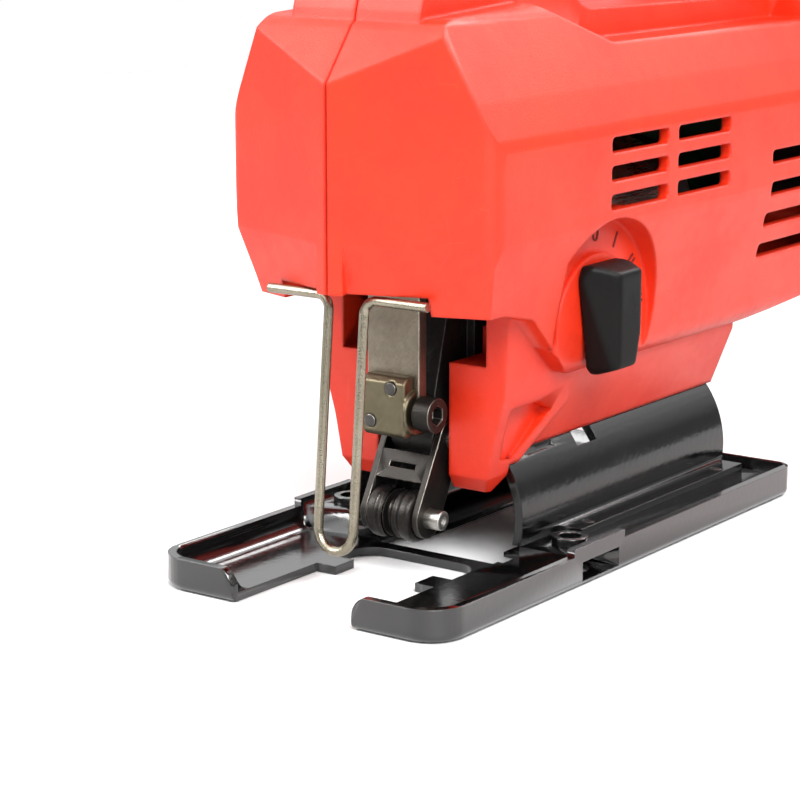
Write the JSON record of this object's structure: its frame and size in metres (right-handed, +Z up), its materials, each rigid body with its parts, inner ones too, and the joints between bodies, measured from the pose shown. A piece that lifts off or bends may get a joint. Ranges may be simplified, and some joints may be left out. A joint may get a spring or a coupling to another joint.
{
  "type": "jigsaw",
  "caption": "Cordless top-handle jigsaw with a red two-part housing, tilting black steel shoe, roller guide, wire guard and slide-on battery pack.",
  "frame": {"origin": "on the surface that the shoe stands on, under the middle of the whole tool", "axes": "+Z up from the sole, -Y towards the blade end of the tool, +Y towards the battery, +X towards the side with the orbital selector lever"},
  "size_m": [0.08, 0.245, 0.1983],
  "materials": {
    "red_shell": "satin moulded glass-filled nylon",
    "soft_grip": "soft moulded rubber",
    "cast_aluminium": "die cast",
    "bronze": "sintered bronze",
    "black_rubber": "matt",
    "bright_steel": "ground",
    "plated_steel": "zinc plated",
    "black_plastic": "fine texture",
    "brush_carbon": "pressed carbon",
    "circuit_board": "solder mask",
    "contact_brass": "stamped",
    "clear_lens": "clear moulded",
    "dark_steel": "zinc-nickel",
    "black_paint": "gloss black enamel",
    "ground_steel": "cross-hatched by grinding",
    "clamp_metal": "bead blasted",
    "black_oxide": "black oxide",
    "copper_winding": "enamelled copper",
    "roller_steel": "oiled hardened steel",
    "lever_plastic": "polished by use",
    "guard_wire": "drawn wire",
    "pack_red": "satin",
    "cell_wrap": "shrink wrap"
  },
  "bodies": {
    "body": {"housing_left": "red_shell", "housing_right": "red_shell", "grip_overmould": "soft_grip", "gear_case": "cast_aluminium", "lower_guide": "bronze", "upper_guide": "bronze", "plunger_seal": "black_rubber", "gear_bearing": "bright_steel", "motor_can": "plated_steel", "motor_end_cap": "black_plastic", "motor_front_bearing": "bright_steel", "motor_rear_bearing": "bright_steel", "motor_brushes": "brush_carbon", "switch_body": "black_plastic", "control_board": "circuit_board", "battery_rail": "black_plastic", "terminal_blades": "contact_brass", "lamp_lens": "clear_lens", "housing_screws": "dark_steel", "fork_pivot_pin": "bright_steel", "bevel_saddle": "dark_steel", "bevel_nut": "dark_steel", "trigger_spring": "bright_steel"},
    "shoe": {"shoe_plate": "black_paint", "bevel_arch": "black_paint", "arch_rivets": "dark_steel", "fence_collars": "black_paint"},
    "bevel_screw": {"bevel_screw": "dark_steel"},
    "plunger": {"plunger_bar": "ground_steel", "plunger_yoke": "bright_steel", "clamp_block": "clamp_metal", "clamp_pins": "dark_steel"},
    "clamp_screw": {"clamp_screw": "black_oxide"},
    "crank": {"crank_gear": "bright_steel", "crank_shaft": "bright_steel", "crank_pin": "bright_steel", "counterweight": "dark_steel"},
    "armature": {"armature_shaft": "bright_steel", "armature_core": "copper_winding", "commutator": "copper_winding", "fan": "black_plastic", "pinion": "bright_steel"},
    "fork": {"roller_fork": "black_oxide", "roller_pin": "bright_steel"},
    "guide_roller": {"guide_roller": "roller_steel"},
    "selector": {"selector_lever": "lever_plastic", "selector_shaft": "bright_steel"},
    "wire_guard": {"wire_guard": "guard_wire"},
    "trigger": {"trigger": "black_plastic"},
    "lock_button": {"lock_button": "black_plastic"},
    "battery": {"battery_case_front": "black_plastic", "battery_case_rear": "pack_red", "battery_cells": "cell_wrap", "cell_straps": "bright_steel", "battery_contacts": "contact_brass"},
    "latch_left": {"latch_left": "pack_red"},
    "latch_right": {"latch_right": "pack_red"}
  },
  "joints": [
    {"name": "shoe_bevel", "type": "hinge", "parent": "body", "child": "shoe", "pos_m": [0, -0.0225, 0.0125], "axis": [0, 1, 0], "range_deg": [-45, 45]},
    {"name": "bevel_screw_turn", "type": "hinge", "parent": "body", "child": "bevel_screw", "pos_m": [0, -0.0345, 0.04], "axis": [0, 0, 1], "range_deg": [-90, 0]},
    {"name": "plunger_stroke", "type": "slide", "parent": "body", "child": "plunger", "axis": [0, 0, 1], "range_m": [-0.004, 0.014]},
    {"name": "clamp_screw_turn", "type": "hinge", "parent": "plunger", "child": "clamp_screw", "pos_m": [0.009, -0.0839, 0.0392], "axis": [1, 0, 0], "range_deg": [-360, 0]},
    {"name": "armature_spin", "type": "hinge", "parent": "body", "child": "armature", "pos_m": [0, -0.0225, 0.07388], "axis": [0, 1, 0], "continuous": true},
    {"name": "crank_spin", "type": "hinge", "parent": "body", "child": "crank", "pos_m": [0, -0.0625, 0.096], "axis": [0, 1, 0], "continuous": true},
    {"name": "fork_rock", "type": "hinge", "parent": "body", "child": "fork", "pos_m": [0, -0.0727, 0.0312], "axis": [1, 0, 0], "range_deg": [-5, 0]},
    {"name": "roller_spin", "type": "hinge", "parent": "fork", "child": "guide_roller", "pos_m": [0, -0.0815, 0.0143], "axis": [1, 0, 0], "continuous": true},
    {"name": "selector_turn", "type": "hinge", "parent": "body", "child": "selector", "pos_m": [0.02, -0.047, 0.056], "axis": [1, 0, 0], "range_deg": [-105, 0]},
    {"name": "guard_swing", "type": "hinge", "parent": "body", "child": "wire_guard", "pos_m": [0, -0.1015, 0.0675], "axis": [1, 0, 0], "range_deg": [-85, 0]},
    {"name": "trigger_pull", "type": "slide", "parent": "body", "child": "trigger", "axis": [0, 0, 1], "range_m": [0, 0.006], "stiffness_N_per_m": 400, "springref_m": -0.004, "deforming": ["trigger_spring"]},
    {"name": "lock_push", "type": "slide", "parent": "body", "child": "lock_button", "axis": [1, 0, 0], "range_m": [-0.004, 0]},
    {"name": "battery_slide", "type": "slide", "parent": "body", "child": "battery", "axis": [0, 0, 1], "range_m": [0, 0.06]},
    {"name": "latch_left_push", "type": "slide", "parent": "battery", "child": "latch_left", "axis": [-1, 0, 0], "range_m": [0, 0.003], "stiffness_N_per_m": 300, "springref_m": -0.001},
    {"name": "latch_right_push", "type": "slide", "parent": "battery", "child": "latch_right", "axis": [1, 0, 0], "range_m": [0, 0.003], "stiffness_N_per_m": 300, "springref_m": -0.001}
  ],
  "couplings": [
    {"joint": "crank_spin", "follows": "armature_spin", "ratio": -0.19565}
  ]
}
